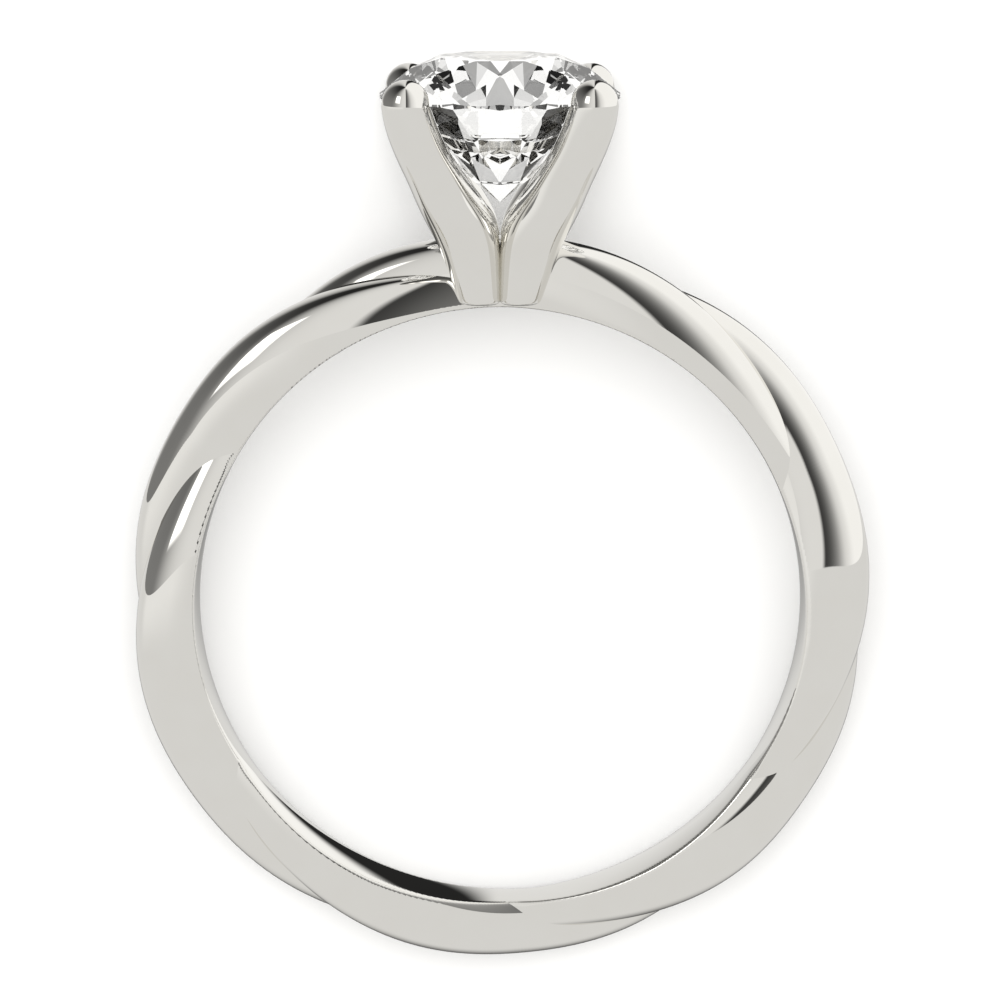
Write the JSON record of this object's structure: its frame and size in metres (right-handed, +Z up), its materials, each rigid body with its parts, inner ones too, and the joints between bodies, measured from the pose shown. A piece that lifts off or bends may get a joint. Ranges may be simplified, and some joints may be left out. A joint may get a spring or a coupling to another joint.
{
  "type": "twisted shank ring",
  "caption": "Solitaire ring with a shank of two twisted strands and prongs holding a round brilliant stone, lying on its side.",
  "frame": {"origin": "middle of the bounding box at its base, on the surface the ring lies on", "axes": "+Z up, +Y from the finger hole towards the stone, +X across the finger hole; the ring lies on its side, on the stone's girdle and on two points of the shank, so the finger hole's axis leans 5.5 degrees from +Z towards -Y"},
  "size_m": [0.0202, 0.025, 0.0065],
  "materials": {
    "white_metal": "polished white precious metal",
    "stone": "clear cut stone"
  },
  "bodies": {
    "root": {"mounting": "white_metal", "diamond": "stone"}
  },
  "joints": []
}
